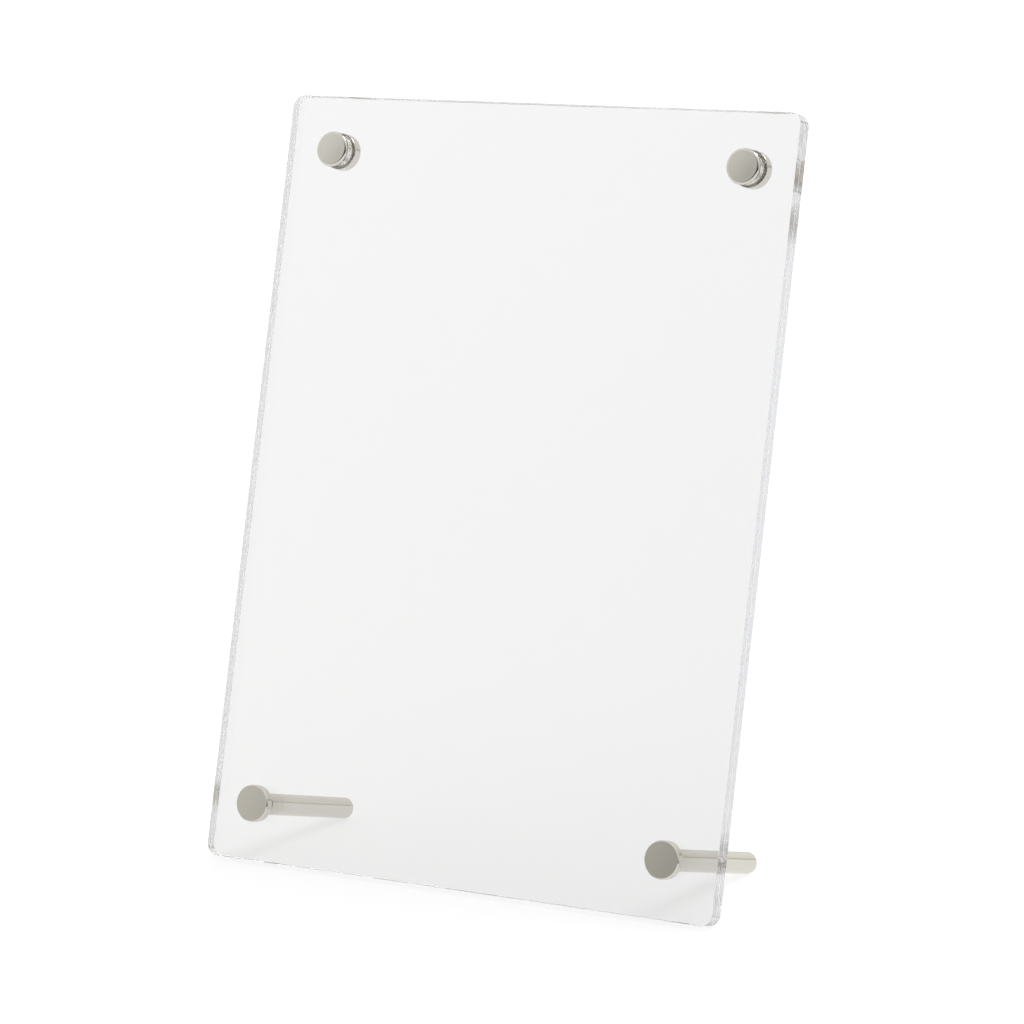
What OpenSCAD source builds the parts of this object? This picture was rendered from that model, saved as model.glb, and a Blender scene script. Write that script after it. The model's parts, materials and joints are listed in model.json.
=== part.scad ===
// Leaning stand for a photo or an album page.
// Two clear acrylic sheets hold the print between them. Four screws clamp them near the corners:
// the upper pair has wide necks and is held by round nuts behind, the lower pair by long round legs that reach back to the table.
// Units are millimetres, +Z is up, the front looks along -Y, and the table is z = 0.

/* [Sheets] */
// Width of both sheets
sheet_w = 185; // [120:1:320]
// Height of both sheets, along the lean
sheet_h = 250; // [150:1:420]
// Thickness of each sheet
sheet_t = 3; // [2:0.5:6]
// Radius of the rounded corners
corner_r = 4; // [1:0.5:15]

/* [Screw positions] */
// Screw centre to side edge
hole_side = 17.5; // [10:0.5:40]
// Upper screw centre to top edge
hole_top = 17.5; // [10:0.5:40]
// Lower screw centre to bottom edge
hole_bottom = 18.5; // [10:0.5:40]

/* [Screws] */
// Diameter of the threaded shank
shank_d = 4; // [3:0.5:5]
// Diameter of the lower holes in the sheets
hole_d = 5.5; // [5.2:0.1:6.2]
// Diameter of the thin caps of the upper screws
cap_d = 11.5; // [8:0.5:20]
// Thickness of the thin caps
cap_t = 1; // [0.8:0.1:3]
// How far a cap's rim stands over the neck behind it
ledge = 0.55; // [0.45:0.05:1.5]
// Diameter of the thick heads of the lower screws
head_d = 12; // [8:0.5:20]
// Thickness of the thick heads
head_t = 3; // [2:0.1:6]

/* [Washers] */
// Thickness of the clear washers under the screw heads
washer_t = 0.5; // [0.3:0.1:1.5]
// How far a lower washer's rim stays inside the rim of its head
washer_inset = 1; // [0.5:0.1:2]
// How far an upper washer's rim stays inside the rim of its cap
cap_inset = 0.15; // [0.05:0.05:0.2]

/* [Nuts and legs] */
// How much wider than its cap a round nut is
nut_over = 0.5; // [0:0.1:6]
// Thickness of the round nuts
nut_t = 3.5; // [2.8:0.1:8]
// Diameter of the legs
leg_d = 7; // [6.5:0.5:14]
// Length of the legs behind the rear sheet
leg_len = 50; // [30:1:100]
// Closed end of a nut behind its bore
nut_floor = 0.5; // [0.3:0.1:1.2]
// Depth of the bore in a leg
leg_bore = 5.8; // [3:0.1:12]

/* [Edges and fits] */
// Bevel on the rims of caps, heads and nuts
rim_bevel = 0.3; // [0.1:0.05:0.4]
// Bevel on the far end of the legs
leg_bevel = 0.5; // [0.2:0.1:1]
// Radial room of a shank or neck in its washer
washer_gap = 0.075; // [0.02:0.005:0.1]
// Radial room of a neck in the sheets
neck_gap = 0.1; // [0.02:0.01:0.1]
// Room between the end of a neck and its nut
neck_end_gap = 0.05; // [0.02:0.01:0.2]
// Radial room of a shank in a nut or leg
bore_gap = 0.05; // [0.01:0.01:0.1]
// Room between the tip of a shank and the end of its bore
tip_gap = 0.2; // [0.1:0.05:0.5]

/* [Hidden] */
$fn = 96;
eps = 0.01;

stack_t = 2 * sheet_t;
shank_r = shank_d / 2;
hole_r = hole_d / 2;
bore_r = shank_r + bore_gap;
neck_r = cap_d / 2 - ledge;
nut_d = cap_d + nut_over;
tip_bevel = 0.4;
nut_bore = nut_t - nut_floor;

// screw centres, measured across from the middle and up from the bottom edge
side_x = sheet_w / 2 - hole_side;
low_z = hole_bottom;
high_z = sheet_h - hole_top;

// The sheets lean back until the bottom rear edge and both leg tips touch the table.
lean = atan((hole_bottom - leg_d / 2) / (leg_len - leg_bevel));
// The rearmost point is either the top of the rear sheet, the upper nuts or the leg tips.
reach_sheet = stack_t * cos(lean) + sheet_h * sin(lean);
reach_nut = (stack_t + nut_t) * cos(lean) + (high_z + nut_d / 2 - rim_bevel) * sin(lean);
reach_leg = (stack_t + leg_len) * cos(lean) + (low_z + leg_d / 2 - leg_bevel) * sin(lean);
depth_all = max(reach_sheet, reach_nut, reach_leg);

clear_tint = [0.88, 0.92, 0.94, 0.35];
washer_tint = [0.9, 0.9, 0.88, 0.6];
nickel = [0.74, 0.73, 0.69];

// From the sheets' own frame (x across, y backwards from the front face, z up along the sheets) to the table.
module leaned() {
    translate([0, -depth_all / 2, stack_t * sin(lean)])
        rotate([-lean, 0, 0])
            children();
}

// Puts a turned part, drawn upwards from z = 0, so that it runs backwards from depth y.
module backwards(x, z, y = 0) {
    leaned()
        translate([x, y, z])
            rotate([-90, 0, 0])
                children();
}

// Plate with four rounded corners, from depth y to y + sheet_t, with a hole for each screw.
module sheet(y) {
    leaned()
        translate([0, y, 0])
            difference() {
                union() {
                    translate([-sheet_w / 2, 0, corner_r])
                        cube([sheet_w, sheet_t, sheet_h - 2 * corner_r]);
                    translate([-sheet_w / 2 + corner_r, 0, 0])
                        cube([sheet_w - 2 * corner_r, sheet_t, sheet_h]);
                    for (x = [-1, 1], z = [corner_r, sheet_h - corner_r])
                        translate([x * (sheet_w / 2 - corner_r), 0, z])
                            rotate([-90, 0, 0])
                                cylinder(r = corner_r, h = sheet_t);
                }
                for (x = [-side_x, side_x], end = [[low_z, hole_r], [high_z, neck_r + neck_gap]])
                    translate([x, -eps, end[0]])
                        rotate([-90, 0, 0])
                            cylinder(r = end[1], h = sheet_t + 2 * eps);
            }
}

// Turned screw: a disc of radius r and thickness t with its underside on the washer, a wider neck where
// neck_len is more than nothing, and a shank that runs through the sheets into a bore of the given depth.
module screw_body(r, t, bore, neck_len) {
    reach = washer_t + stack_t + bore - tip_gap;
    rotate_extrude()
        polygon(concat(
            [
                [0, -t],
                [r - rim_bevel, -t],
                [r, -t + rim_bevel],
                [r, -rim_bevel / 2],
                [r - rim_bevel / 2, 0]
            ],
            neck_len > 0 ? [[neck_r, 0], [neck_r, neck_len]] : [],
            [
                [shank_r, neck_len],
                [shank_r, reach - tip_bevel],
                [shank_r - tip_bevel, reach],
                [0, reach]
            ]
        ));
}

// Turned nut or leg: radius r, length t, bevels at both ends and a blind bore at the front.
module bored_body(r, t, bore, front_bevel, rear_bevel) {
    rotate_extrude()
        polygon([
            [bore_r, 0],
            [r - front_bevel, 0],
            [r, front_bevel],
            [r, t - rear_bevel],
            [r - rear_bevel, t],
            [0, t],
            [0, bore],
            [bore_r, bore]
        ]);
}

module rear_sheet() {
    color(clear_tint) sheet(sheet_t);
}

module front_sheet() {
    color(clear_tint) sheet(0);
}

module nut(x) {
    color(nickel)
        backwards(x, high_z, stack_t)
            bored_body(nut_d / 2, nut_t, nut_bore, rim_bevel, rim_bevel);
}

module leg(x) {
    color(nickel)
        backwards(x, low_z, stack_t)
            bored_body(leg_d / 2, leg_len, leg_bore, rim_bevel, leg_bevel);
}

module washer(x, z, outer, inner) {
    color(washer_tint)
        backwards(x, z, -washer_t)
            difference() {
                cylinder(r = outer, h = washer_t);
                translate([0, 0, -eps])
                    cylinder(r = inner + washer_gap, h = washer_t + 2 * eps);
            }
}

module upper_washer(x) {
    washer(x, high_z, cap_d / 2 - cap_inset, neck_r);
}

module lower_washer(x) {
    washer(x, low_z, head_d / 2 - washer_inset, shank_r);
}

module upper_screw(x) {
    color(nickel)
        backwards(x, high_z, -washer_t)
            screw_body(cap_d / 2, cap_t, nut_bore, washer_t + stack_t - neck_end_gap);
}

module lower_screw(x) {
    color(nickel)
        backwards(x, low_z, -washer_t)
            screw_body(head_d / 2, head_t, leg_bore, 0);
}

module upper_left_nut() { nut(-side_x); }
module upper_right_nut() { nut(side_x); }
module left_leg() { leg(-side_x); }
module right_leg() { leg(side_x); }
module upper_left_washer() { upper_washer(-side_x); }
module upper_right_washer() { upper_washer(side_x); }
module lower_left_washer() { lower_washer(-side_x); }
module lower_right_washer() { lower_washer(side_x); }
module upper_left_screw() { upper_screw(-side_x); }
module upper_right_screw() { upper_screw(side_x); }
module lower_left_screw() { lower_screw(-side_x); }
module lower_right_screw() { lower_screw(side_x); }

rear_sheet();
front_sheet();
upper_left_nut();
upper_right_nut();
left_leg();
right_leg();
upper_left_washer();
upper_right_washer();
lower_left_washer();
lower_right_washer();
upper_left_screw();
upper_right_screw();
lower_left_screw();
lower_right_screw();
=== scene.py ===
"""Looks for a leaning photo stand: two clear acrylic sheets held by four satin nickel screws.

Lengths are metres, so a size in millimetres is written times MM. Angles are radians unless a name
ends in _DEG.
The stand leans in its own frame: x runs across, y backwards through the sheets, z up along them.
"""
import json

import bmesh
import bpy
import numpy as np
from mathutils import Matrix, Vector


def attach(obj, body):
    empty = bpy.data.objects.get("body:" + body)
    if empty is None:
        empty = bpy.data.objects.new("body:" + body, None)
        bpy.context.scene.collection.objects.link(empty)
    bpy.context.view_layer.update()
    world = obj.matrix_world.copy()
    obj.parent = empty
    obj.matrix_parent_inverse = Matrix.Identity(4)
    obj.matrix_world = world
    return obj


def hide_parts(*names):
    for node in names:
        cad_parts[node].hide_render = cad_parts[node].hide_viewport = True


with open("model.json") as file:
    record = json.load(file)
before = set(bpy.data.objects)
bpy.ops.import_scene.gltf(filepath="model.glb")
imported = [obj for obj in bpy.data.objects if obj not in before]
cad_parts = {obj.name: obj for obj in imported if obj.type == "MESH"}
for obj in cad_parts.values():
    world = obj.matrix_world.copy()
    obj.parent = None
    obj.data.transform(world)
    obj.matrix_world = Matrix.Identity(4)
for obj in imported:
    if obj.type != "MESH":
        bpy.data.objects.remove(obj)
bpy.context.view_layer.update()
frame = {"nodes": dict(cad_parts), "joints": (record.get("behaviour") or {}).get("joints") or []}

MM = 0.001
TAU = 2 * np.pi

# ---------------------------------------------------------------- the leaning frame

FRONT = np.array(next(j["axis"] for j in frame["joints"] if j["name"] == "cover_lift"))
ACROSS = np.array([1.0, 0.0, 0.0])
BACK = -FRONT / np.linalg.norm(FRONT)
UP = np.cross(ACROSS, BACK)
AXES = np.stack([ACROSS, BACK, UP])


def mesh_points(node):
    """All vertices of a CAD node, one row each, in the table's frame."""
    mesh = frame["nodes"][node].data
    co = np.empty(len(mesh.vertices) * 3)
    mesh.vertices.foreach_get("co", co)
    return co.reshape(-1, 3)


# the corner where the front sheet's front face meets its bottom edge, at mid width
front_points = mesh_points("front_sheet") @ AXES.T
ORIGIN = np.array([0.0, front_points[:, 1].min(), front_points[:, 2].min()])


def span(node):
    """Lowest and highest corner of a CAD node, measured along the leaning axes from ORIGIN."""
    local = mesh_points(node) @ AXES.T - ORIGIN
    return local.min(0), local.max(0)


def to_table(local):
    """Points of the leaning frame, turned into the table's frame."""
    return (np.asarray(local) + ORIGIN) @ AXES


# ---------------------------------------------------------------- sizes that the CAD boxes don't give

SHANK_R = 2.0 * MM
NECK_R = 5.2 * MM          # wide necks of the upper screws
HOLE_R = 2.75 * MM         # lower holes
NECK_HOLE_R = 5.3 * MM     # upper holes
NECK_END = 0.05 * MM       # room between a neck and its nut
BORE_GAP = 0.05 * MM       # room round a shank in its bore
NUT_FLOOR = 0.5 * MM       # metal left behind the bore of a nut
LEG_BORE = 5.8 * MM        # depth of the bore in a leg
CORNER_R = 4.0 * MM
EDGE_EASE = 0.08 * MM      # sharp corner of a sheet's edge, taken off at 45 degrees
FACE_SKIN = 0.02 * MM      # air film that keeps touching faces apart
CAP_ROUND = 0.8 * MM       # rounded rim of the thin caps
CAP_DOME = 0.08 * MM       # height of the soft dome on a cap
CAP_FACE_STOP = 1.6        # the domed face stops this many rim radii inside the rim
CAP_RIM_DROP = 1.2         # and the rim starts this many dome heights back
HEAD_BEVEL = 0.32 * MM     # flat bevel on the rim of the thick heads
HEAD_DOME = 0.03 * MM
HEAD_FACE_STOP = 0.3 * MM  # the domed face of a head stops this far inside its bevel
BEVEL_ROUND = 0.05 * MM
UNDER_ROUND = 0.12 * MM    # back rim of the caps and heads
NECK_ROUND = 0.08 * MM     # where a neck leaves its cap
TURNED_ROUND = 0.1 * MM    # every other small corner that the lathe leaves
TIP_ROUND = 0.4 * MM       # tip of a shank
NUT_ROUND = 0.25 * MM
LEG_ROUND = 0.5 * MM
SHANK_RADII = [TURNED_ROUND, TIP_ROUND, 0]
TURN_STEPS = 160           # faces round a turned piece
TURN_UV = 10               # UV units for a full turn
ARC_LEAD = 1.33            # where the points beside an arc stand, as a share of its cut
FLAT_ENOUGH = 0.98         # cosine between a face and the way that it has to look
# undersides of the heads, just off the washers
HEAD_UNDER = span("upper_left_washer")[0][1] - FACE_SKIN


# ---------------------------------------------------------------- meshes

def new_object(name, points, faces, smooth=True):
    """Mesh object from points in the leaning frame and a list of faces."""
    mesh = bpy.data.meshes.new(name)
    mesh.from_pydata(to_table(points).tolist(), [], faces)
    mesh.validate()
    if smooth:
        mesh.polygons.foreach_set("use_smooth", np.ones(len(mesh.polygons), bool))
    mesh.update()
    piece = bpy.data.objects.new(name, mesh)
    bpy.context.scene.collection.objects.link(piece)
    return piece


def ring_quads(rows, steps, start=0):
    """Faces between rows of points, each row a closed ring of the same number of steps."""
    i, j = np.meshgrid(np.arange(rows - 1), np.arange(steps), indexing="ij")
    a = start + i * steps + j
    b = start + i * steps + (j + 1) % steps
    return np.stack([a, a + steps, b + steps, b], -1).reshape(-1, 4).tolist()


def rounded_profile(corners, radii, arc_steps=6):
    """Polyline through corners, each turned into an arc of its radius.

    An arc starts at radius * tan(turn / 2) before its corner, and a point stands a third of that
    length outside each end, so that smooth shading stays on the arc.
    """
    corners = np.asarray(corners, float)
    out = [corners[0]]
    for k in range(1, len(corners) - 1):
        here, radius = corners[k], radii[k]
        if not radius:
            out.append(here)
            continue
        came, goes = here - corners[k - 1], corners[k + 1] - here
        came, goes = came / np.linalg.norm(came), goes / np.linalg.norm(goes)
        turn = np.arccos(np.clip(came @ goes, -1, 1))
        cut = radius * np.tan(turn / 2)
        inward = (goes - came) / np.linalg.norm(goes - came)
        middle = here + inward * radius / np.cos(turn / 2)
        first = here - came * cut - middle
        side = came * radius
        angle = np.linspace(0, turn, arc_steps + 1)[:, None]
        arc = middle + first * np.cos(angle) + side * np.sin(angle)
        out += [here - came * cut * ARC_LEAD, *arc, here + goes * cut * ARC_LEAD]
    out.append(corners[-1])
    return np.array(out)


def turned(name, profile, centre):
    """Profile of (radius, depth) pairs, carried round the axis through centre = (x, z).

    A pair becomes the points (radius * cosine, depth, radius * sine) of every step of the turn. The UV
    map holds the millimetres along the profile and TURN_UV units for a full turn, so that turning marks
    follow the tool's path.
    """
    profile = np.asarray(profile)
    inner = profile[1:-1]
    angle = np.arange(TURN_STEPS) / TURN_STEPS * TAU
    ring = np.stack([np.cos(angle), np.zeros(TURN_STEPS), np.sin(angle)], -1)
    points = inner[:, None, :1] * ring[None] + np.array([0, 1, 0]) * inner[:, None, 1:]
    ends = np.array([[0, profile[0][1], 0], [0, profile[-1][1], 0]])
    points = np.concatenate([points.reshape(-1, 3), ends]) + np.array([centre[0], 0, centre[1]])
    first, last = len(points) - 2, len(points) - 1
    step = np.arange(TURN_STEPS)
    after = (step + 1) % TURN_STEPS
    base = (len(inner) - 1) * TURN_STEPS
    faces = ring_quads(len(inner), TURN_STEPS)
    faces += np.stack([step, after, np.full(TURN_STEPS, first)], -1).tolist()
    faces += np.stack([base + after, base + step, np.full(TURN_STEPS, last)], -1).tolist()
    piece = new_object(name, points, faces)
    along = np.concatenate([[0], np.cumsum(np.linalg.norm(np.diff(profile, axis=0), axis=1))])
    write_turned_uv(piece.data, along, len(inner))
    return piece


def write_turned_uv(mesh, along, rings):
    """UV map of a turned piece: u is the millimetres along the profile, v the share of a turn * TURN_UV."""
    corner_vertex = np.empty(len(mesh.loops), int)
    mesh.loops.foreach_get("vertex_index", corner_vertex)
    ring = corner_vertex // TURN_STEPS
    step = corner_vertex % TURN_STEPS
    u = np.where(ring < rings, along[np.minimum(ring + 1, rings)], 0)
    u = np.where(corner_vertex == rings * TURN_STEPS + 1, along[-1], u)
    starts = np.empty(len(mesh.polygons), int)
    sizes = np.empty(len(mesh.polygons), int)
    mesh.polygons.foreach_get("loop_start", starts)
    mesh.polygons.foreach_get("loop_total", sizes)
    polygon = np.repeat(np.arange(len(sizes)), sizes)
    tip = ring >= rings
    # the face that closes the turn has its far side at a full turn and not at zero
    wraps = np.zeros(len(sizes), bool)
    np.logical_or.at(wraps, polygon, step == TURN_STEPS - 1)
    v = np.where(wraps[polygon] & (step == 0) & ~tip, TURN_STEPS, step).astype(float)
    partner = np.zeros(len(sizes))
    np.maximum.at(partner, polygon, np.where(tip, 0, v))
    v = np.where(tip, partner[polygon] - 0.5, v)
    layer = mesh.uv_layers.new(name="turning")
    layer.data.foreach_set("uv", np.stack([u / MM, v / TURN_STEPS * TURN_UV], -1).ravel())


def rounded_outline(width, height, radius, steps=12):
    """Ring of (x, z) points round a rectangle that stands on z = 0.

    Each corner is a quarter turn of the radius, about a centre set in by that radius from both sides.
    """
    angle = np.linspace(0, TAU / 4, steps + 1)
    centres = [(1, height - radius), (-1, height - radius), (-1, radius), (1, radius)]
    arcs = []
    for k, (side, z) in enumerate(centres):
        turn = angle + k * TAU / 4
        x = side * (width / 2 - radius) + radius * np.cos(turn)
        arcs.append(np.stack([x, z + radius * np.sin(turn)], -1))
    return np.concatenate(arcs)


def circle(centre, radius, steps=96):
    """Ring of (x, z) points: the centre plus radius times the cosine and the sine of the turn."""
    turn = np.arange(steps) / steps * TAU
    return np.stack([centre[0] + radius * np.cos(turn), centre[1] + radius * np.sin(turn)], -1)


def sheet(name, node, holes):
    """Acrylic sheet with rounded corners, round holes and eased edges.

    Each rim is an edge profile (cut back at both faces by EDGE_EASE) carried round a ring. The two
    flat faces are triangles stretched between the rings, shaded flat so that they stay plane. Material 0
    goes on the flat faces, 1 on the outer rim and 2 on the walls of the holes.
    """
    low, high = span(node)
    front, back = low[1] + FACE_SKIN, high[1] - FACE_SKIN
    width, height = high[0] - low[0], high[2] - low[2]
    depths = [front, front + EDGE_EASE, back - EDGE_EASE, back]
    cuts = [EDGE_EASE, 0, 0, EDGE_EASE]
    points, faces, finishes = [], [], []
    rings = [lambda cut: rounded_outline(width - 2 * cut, height - 2 * cut, CORNER_R - cut) + [0, cut]]
    rings += [lambda cut, at=at, radius=radius: circle(at, radius + cut) for at, radius in holes]
    for ring in rings:
        rows = [ring(cut) for cut in cuts]
        steps = len(rows[0])
        faces += ring_quads(len(rows), steps, sum(len(p) for p in points))
        finishes += [1 if ring is rings[0] else 2] * (len(faces) - len(finishes))
        points += [np.stack([row[:, 0], np.full(steps, depth), row[:, 1]], -1)
                   for row, depth in zip(rows, depths)]
    piece = new_object(name, np.concatenate(points), faces, smooth=False)
    piece.data.polygons.foreach_set("material_index", finishes)
    work = bmesh.new()
    work.from_mesh(piece.data)
    back_axis = Vector(BACK)
    depth_of = lambda edge: sum(v.co.dot(back_axis) for v in edge.verts) / 2 - ORIGIN[1]
    middle = (front + back) / 2
    for is_front in (True, False):
        rim = [e for e in work.edges if e.is_boundary and (depth_of(e) < middle) == is_front]
        filled = bmesh.ops.triangle_fill(work, edges=rim, use_beauty=True)
        for face in filled["geom"]:
            if isinstance(face, bmesh.types.BMFace):
                face.material_index = 0
    bmesh.ops.recalc_face_normals(work, faces=work.faces)
    work.to_mesh(piece.data)
    work.free()
    return piece


def face_of_disc(radius, front, dome, steps=6):
    """Points across a face that is domed as a parabola: depth falls back by dome * (r / radius) squared."""
    r = np.linspace(0, radius, steps + 1)
    return np.stack([r, front + dome * (r / radius) ** 2], -1).tolist()


def cap_profile(low, high):
    """Thin domed disc with a rounded rim, a wide neck, then a shank with a rounded tip."""
    radius, front, tip = (high[0] - low[0]) / 2, low[1], high[1]
    face = face_of_disc(radius - CAP_ROUND * CAP_FACE_STOP, front, CAP_DOME)
    neck_end = span("rear_sheet")[1][1] - NECK_END
    corners = face + [(radius, front + CAP_DOME * CAP_RIM_DROP), (radius, HEAD_UNDER),
                      (NECK_R, HEAD_UNDER), (NECK_R, neck_end)]
    radii = [0] * len(face) + [CAP_ROUND, UNDER_ROUND, NECK_ROUND, TURNED_ROUND]
    return rounded_profile(corners + shank_corners(neck_end, tip), radii + SHANK_RADII)


def head_profile(low, high):
    """Thick disc with a flat bevel on its rim, then a shank with a rounded tip."""
    radius, front, tip = (high[0] - low[0]) / 2, low[1], high[1]
    face = face_of_disc(radius - HEAD_BEVEL - HEAD_FACE_STOP, front, HEAD_DOME)
    corners = face + [(radius - HEAD_BEVEL, front + HEAD_DOME), (radius, front + HEAD_DOME + HEAD_BEVEL),
                      (radius, HEAD_UNDER)]
    radii = [0] * len(face) + [BEVEL_ROUND, BEVEL_ROUND, UNDER_ROUND]
    return rounded_profile(corners + shank_corners(HEAD_UNDER, tip), radii + SHANK_RADII)


def shank_corners(start, tip):
    """Corners of a shank from where it leaves the head or neck to its tip."""
    return [(SHANK_R, start), (SHANK_R, tip), (0, tip)]


def bored_profile(low, high, rim_front, rim_back, bore_end):
    """Round bar with a blind bore in its front end."""
    radius, front, back = (high[0] - low[0]) / 2, low[1], high[1]
    bore = SHANK_R + BORE_GAP
    corners = [(0, bore_end), (bore, bore_end), (bore, front), (radius, front), (radius, back), (0, back)]
    return rounded_profile(corners, [0, TURNED_ROUND, TURNED_ROUND, rim_front, rim_back, 0])


# ---------------------------------------------------------------- materials

def linear(code):
    """sRGB hex colour, turned linear."""
    value = np.array([int(code[i:i + 2], 16) for i in (1, 3, 5)]) / 255
    return (*np.where(value <= 0.04045, value / 12.92, ((value + 0.055) / 1.055) ** 2.4), 1.0)


def add(tree, kind, settings=(), **inputs):
    """Adds a node. settings are its own properties; inputs are values or output sockets by input name."""
    node = tree.nodes.new(kind)
    for key, value in dict(settings).items():
        setattr(node, key, value)
    for key, value in inputs.items():
        socket = node.inputs[int(key[1:])] if key[0] == "_" else node.inputs[key.replace("_", " ")]
        if isinstance(value, bpy.types.NodeSocket):
            tree.links.new(value, socket)
        else:
            socket.default_value = value
    return node


def colour_ramp(tree, value, stops):
    """Ramp through (position, colour) stops."""
    node = add(tree, "ShaderNodeValToRGB", Fac=value)
    ramp = node.color_ramp
    while len(ramp.elements) < len(stops):
        ramp.elements.new(0.5)
    for element, (position, colour) in zip(ramp.elements, stops):
        element.position = position
        element.color = (*colour, 1)
    return node.outputs[0]


def material(name, **values):
    """New material with one Principled shader; values are the shader's own numbers."""
    made = bpy.data.materials.new(name)
    made.use_nodes = True
    tree = made.node_tree
    tree.nodes.clear()
    shader = add(tree, "ShaderNodeBsdfPrincipled", **values)
    add(tree, "ShaderNodeOutputMaterial", Surface=shader.outputs[0])
    return made, tree, shader


def fine_bump(tree, shader, height, distance, strength=1.0):
    """Bump of the given height in millimetres, linked to the shader's normal."""
    bump = add(tree, "ShaderNodeBump", Height=height, Strength=strength, Distance=distance * MM)
    tree.links.new(bump.outputs[0], shader.inputs["Normal"])


def cast_acrylic():
    """Flat faces of cast acrylic: water clear, with the very faint waves of a cast sheet.

    The waves give the eye reflections that swim a little where a pane of ground glass would be dead flat.
    """
    made, tree, shader = material(
        "cast_acrylic_face", Base_Color=linear("#f7f7f7"), Roughness=0.0, IOR=1.49, Transmission_Weight=1.0)
    where = add(tree, "ShaderNodeTexCoord")
    # waves about 55 mm long
    waves = add(tree, "ShaderNodeTexNoise", Vector=where.outputs["Object"], Scale=18.0, Detail=1.0)
    fine_bump(tree, shader, waves.outputs[0], 0.004)
    return made


def milled_edge():
    """Cut and buffed edge of the sheets: bright, but half frosted by the cutter.

    The frost gives the eye a soft pale band in place of a hard mirror, and the buffed part between the
    cutter's streaks still shows the far screws as weak darker marks.
    """
    made, tree, shader = material(
        "milled_buffed_acrylic_edge", Base_Color=linear("#fbfcff"), Roughness=0.12, IOR=1.49,
        Transmission_Weight=0.85)
    where = add(tree, "ShaderNodeTexCoord")
    # cutter streaks about 0.7 mm wide from front to back and 25 mm long the other ways
    stretch = add(tree, "ShaderNodeMapping", Vector=where.outputs["Object"], Scale=(40.0, 1500.0, 40.0))
    streaks = add(tree, "ShaderNodeTexNoise", Vector=stretch.outputs[0], Scale=1.0, Detail=1.0)
    frost = add(tree, "ShaderNodeMapRange", Value=streaks.outputs[0], To_Min=0.1, To_Max=0.24)
    tree.links.new(frost.outputs[0], shader.inputs["Roughness"])
    return made


def wall_with_painted_reflection():
    """Reamed hole walls: nearly as clear as the faces, coloured with a painted reflection of lit metal.

    From inside the sheet they give the eye a pale warm band round each neck, which is painted reflection,
    with brown patches of painted shade.
    """
    made, tree, shader = material(
        "acrylic_wall_painted_reflection", Base_Color=linear("#d8ccb6"), Roughness=0.05, IOR=1.49,
        Transmission_Weight=0.72)
    where = add(tree, "ShaderNodeTexCoord")
    # patches of painted shade and painted reflection about 4 mm across
    shade_and_reflection_patches = add(tree, "ShaderNodeTexNoise", Vector=where.outputs["Object"], Scale=260.0, Detail=1.0)
    # brown is painted shade, pale warm is a painted reflection of lit metal
    stops = [(0.42, linear("#8f6f48")[:3]), (0.52, linear("#dccaa8")[:3])]
    tree.links.new(colour_ramp(tree, shade_and_reflection_patches.outputs[0], stops), shader.inputs["Base Color"])
    # the wall is less clear where the painted shade lies
    cover = add(tree, "ShaderNodeMapRange", Value=shade_and_reflection_patches.outputs[0], From_Min=0.42, From_Max=0.55,
                To_Min=0.3, To_Max=0.8)
    tree.links.new(cover.outputs[0], shader.inputs["Transmission Weight"])
    return made


def satin_nickel():
    """Turned steel with a satin nickel plate.

    Fine marks round each turned piece stretch its highlights across the lathe's path, and slow changes of
    gloss keep a big face from looking like one flat grey.
    """
    made, tree, shader = material(
        "satin_nickel_turned", Base_Color=linear("#d1cec5"), Metallic=1.0, Roughness=0.13, Anisotropic=0.35)
    uv = add(tree, "ShaderNodeUVMap", {"uv_map": "turning"})
    tangent = add(tree, "ShaderNodeTangent", {"direction_type": "UV_MAP", "uv_map": "turning"})
    tree.links.new(tangent.outputs[0], shader.inputs["Tangent"])
    # turning marks about 0.14 mm apart, coarser than the real ones so that they show
    stretch = add(tree, "ShaderNodeMapping", Vector=uv.outputs[0], Scale=(7.0, 0.4, 1.0))
    marks = add(tree, "ShaderNodeTexNoise", Vector=stretch.outputs[0], Scale=1.0, Detail=3.0, Roughness=0.6)
    fine_bump(tree, shader, marks.outputs[0], 0.003)
    where = add(tree, "ShaderNodeTexCoord")
    # changes of gloss about 4.5 mm across
    slow = add(tree, "ShaderNodeTexNoise", Vector=where.outputs["Object"], Scale=220.0, Detail=2.0)
    gloss = add(tree, "ShaderNodeMapRange", Value=slow.outputs[0], To_Min=0.09, To_Max=0.17)
    tree.links.new(gloss.outputs[0], shader.inputs["Roughness"])
    return made


def faced_nickel():
    """Clamping faces of the turned pieces, left as the lathe faced them.

    Rings cut close together spread the light to the sides, so that these faces show through the sheets as
    soft bright and dark fans and not as a mirror.
    """
    made, tree, shader = material(
        "faced_nickel_plate", Base_Color=linear("#d1cdc2"), Metallic=1.0, Roughness=0.48, Anisotropic=0.6)
    tangent = add(tree, "ShaderNodeTangent", {"direction_type": "UV_MAP", "uv_map": "turning"})
    tree.links.new(tangent.outputs[0], shader.inputs["Tangent"])
    uv = add(tree, "ShaderNodeUVMap", {"uv_map": "turning"})
    # rings about 0.11 mm apart, coarser than the real ones so that they show
    stretch = add(tree, "ShaderNodeMapping", Vector=uv.outputs[0], Scale=(9.0, 0.3, 1.0))
    rings = add(tree, "ShaderNodeTexNoise", Vector=stretch.outputs[0], Scale=1.0, Detail=2.0)
    fine_bump(tree, shader, rings.outputs[0], 0.006)
    return made


def milky_nylon():
    """Moulded natural nylon of the washers: milky, soft shine, fine moulding grain."""
    made, tree, shader = material(
        "natural_nylon_moulded", Base_Color=linear("#f0ede4"), Roughness=0.35, IOR=1.53,
        Transmission_Weight=0.45)
    where = add(tree, "ShaderNodeTexCoord")
    # grain about 0.4 mm across
    grain = add(tree, "ShaderNodeTexNoise", Vector=where.outputs["Object"], Scale=2500.0, Detail=1.0)
    fine_bump(tree, shader, grain.outputs[0], 0.01)
    return made


# ---------------------------------------------------------------- pieces

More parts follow.
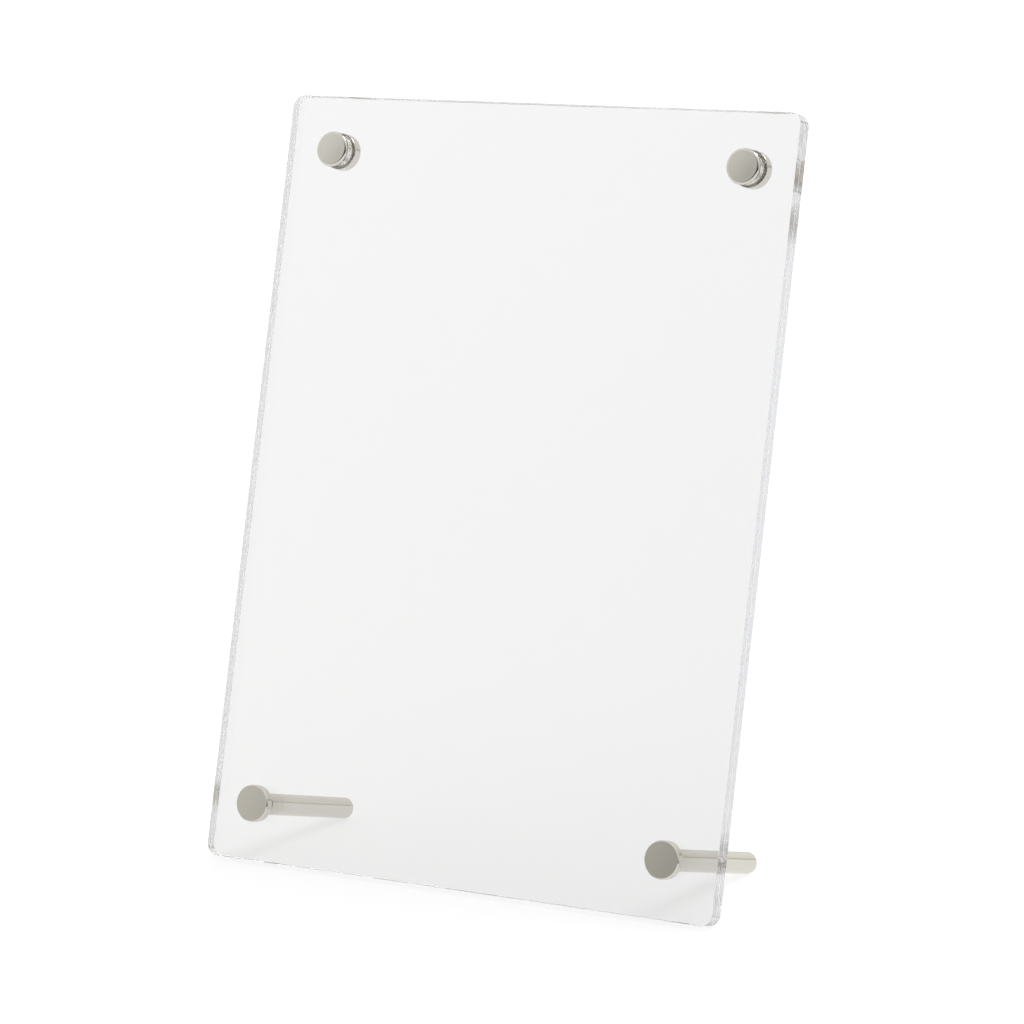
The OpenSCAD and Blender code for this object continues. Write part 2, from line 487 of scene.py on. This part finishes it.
acrylic = [cast_acrylic(), milled_edge(), wall_with_painted_reflection()]
metal = [satin_nickel(), faced_nickel()]
nylon = milky_nylon()
CORNERS = ["upper_left", "upper_right", "lower_left", "lower_right"]


def faced(piece, way):
    """Puts the second material on the flat faces that look along way."""
    polygons = piece.data.polygons
    normals = np.empty(len(polygons) * 3)
    polygons.foreach_get("normal", normals)
    polygons.foreach_set("material_index", (normals.reshape(-1, 3) @ way > FLAT_ENOUGH).astype(int))
    return piece


def middle_of(node):
    """Centre of a CAD node, across and up the leaning frame."""
    low, high = span(node)
    return (low[0] + high[0]) / 2, (low[2] + high[2]) / 2


def finish_piece(piece, node, body, finishes):
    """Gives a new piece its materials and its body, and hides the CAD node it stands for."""
    for made in finishes:
        piece.data.materials.append(made)
    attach(piece, body)
    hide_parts(node)


screw_places = [middle_of(f"{corner}_screw") for corner in CORNERS]
holes = list(zip(screw_places, [NECK_HOLE_R, NECK_HOLE_R, HOLE_R, HOLE_R]))
for node, body in (("front_sheet", "cover"), ("rear_sheet", "stand")):
    finish_piece(sheet(f"{node}_clear", node, holes), node, body, acrylic)

for corner, place in zip(CORNERS, screw_places):
    node = f"{corner}_screw"
    low, high = span(node)
    profile = cap_profile(low, high) if corner.startswith("upper") else head_profile(low, high)
    finish_piece(faced(turned(f"{node}_turned", profile, place), BACK), node, node, metal)
    washer = frame["nodes"][f"{corner}_washer"]
    washer.data.materials.clear()
    washer.data.materials.append(nylon)

for node in ("upper_left_nut", "upper_right_nut"):
    low, high = span(node)
    profile = bored_profile(low, high, NUT_ROUND, NUT_ROUND, high[1] - NUT_FLOOR)
    piece = faced(turned(f"{node}_turned", profile, middle_of(node)), -BACK)
    finish_piece(piece, node, "stand", metal)

for node in ("left_leg", "right_leg"):
    low, high = span(node)
    profile = bored_profile(low, high, NUT_ROUND, LEG_ROUND, low[1] + LEG_BORE)
    piece = faced(turned(f"{node}_turned", profile, middle_of(node)), -BACK)
    finish_piece(piece, node, "stand", metal)

# ---------------------------------------------------------------- studio

FLOOR_SIZE = 24.0
SUN_FROM = Vector((0.45, 0.55, 0.9))
SUN_STRENGTH = 1.2
SUN_WIDTH_DEG = 30
DARK_WAY = (0.305, -0.937, -0.171)   # middle of the room's dark side
DARK_RIM, DARK_CORE = 0.353, 0.903   # cosines from DARK_WAY where the dark side starts and is full
DARK_LEVEL = 0.06                    # light that is left in its middle
BOUNCES = 160
# share of the height (0 at the horizon, 1 at about 24 degrees) and the wall's light there
HORIZON = [
    (0.05, (0.5, 0.49, 0.46)),
    (0.20, (1.0, 0.98, 0.93)),
    (0.62, (0.99, 0.98, 0.96)),
    (1.0, (1, 1, 1)),
]


def studio_floor():
    """Lit white table: mostly its own light, so that only faint shadows fall on it."""
    half = FLOOR_SIZE / 2
    corners = [(-half, -half, 0), (half, -half, 0), (half, half, 0), (-half, half, 0)]
    mesh = bpy.data.meshes.new("studio_floor")
    mesh.from_pydata(corners, [], [(0, 1, 2, 3)])
    piece = bpy.data.objects.new("studio_floor", mesh)
    bpy.context.scene.collection.objects.link(piece)
    made, tree, shader = material(
        "white_light_table", Base_Color=linear("#838383"), Roughness=0.9, Specular_IOR_Level=0.0,
        Emission_Color=(1, 1, 1, 1), Emission_Strength=0.82)
    mesh.materials.append(made)


def studio_world():
    """White room with a dark side at the front right and a warm grey horizon."""
    world = bpy.data.worlds.new("studio")
    bpy.context.scene.world = world
    world.use_nodes = True
    tree = world.node_tree
    tree.nodes.clear()
    where = add(tree, "ShaderNodeTexCoord")
    dot = add(tree, "ShaderNodeVectorMath", {"operation": "DOT_PRODUCT"},
              _0=where.outputs["Generated"], _1=DARK_WAY)
    room = add(tree, "ShaderNodeMapRange", {"interpolation_type": "SMOOTHSTEP"}, Value=dot.outputs["Value"],
               From_Min=DARK_RIM, From_Max=DARK_CORE, To_Min=1.0, To_Max=DARK_LEVEL)
    split = add(tree, "ShaderNodeSeparateXYZ", Vector=where.outputs["Generated"])
    height = add(tree, "ShaderNodeMapRange", Value=split.outputs["Z"], From_Min=0.0, From_Max=0.4)
    wall = colour_ramp(tree, height.outputs[0], HORIZON)
    back = add(tree, "ShaderNodeBackground", Strength=room.outputs[0], Color=wall)
    add(tree, "ShaderNodeOutputWorld", Surface=back.outputs[0])


def studio_sun():
    """Wide soft light from high behind the right."""
    light = bpy.data.lights.new("soft_key", "SUN")
    light.energy = SUN_STRENGTH
    light.angle = np.radians(SUN_WIDTH_DEG)
    lamp = bpy.data.objects.new("soft_key", light)
    lamp.rotation_mode = "QUATERNION"
    lamp.rotation_quaternion = SUN_FROM.to_track_quat("Z", "Y")
    bpy.context.scene.collection.objects.link(lamp)


def long_lens_camera():
    """Long lens from the right of the front, a little above, with a slight tilt."""
    azimuth, elevation, roll = np.radians([30.65, 12.42, -1.99])
    distance, aim = 1.2477, Vector((0.02768, -0.03912, 0.12564))
    lens = 144.03
    level = np.cos(elevation)
    away = Vector((np.sin(azimuth) * level, -np.cos(azimuth) * level, np.sin(elevation)))
    data = bpy.data.cameras.new("camera")
    data.lens = lens
    data.sensor_width = 36.0
    data.clip_start, data.clip_end = 0.05, 50.0
    camera = bpy.data.objects.new("camera", data)
    turn = away.to_track_quat("Z", "Y").to_matrix().to_4x4() @ Matrix.Rotation(roll, 4, "Z")
    camera.matrix_world = Matrix.Translation(aim + away * distance) @ turn
    bpy.context.scene.collection.objects.link(camera)
    bpy.context.scene.camera = camera


studio_floor()
studio_world()
studio_sun()
long_lens_camera()
bpy.context.scene.view_settings.view_transform = "Standard"
# light runs along inside a sheet through dozens of reflections before it leaves at an edge
for bounces in ("max_bounces", "glossy_bounces", "transmission_bounces"):
    setattr(bpy.context.scene.cycles, bounces, BOUNCES)
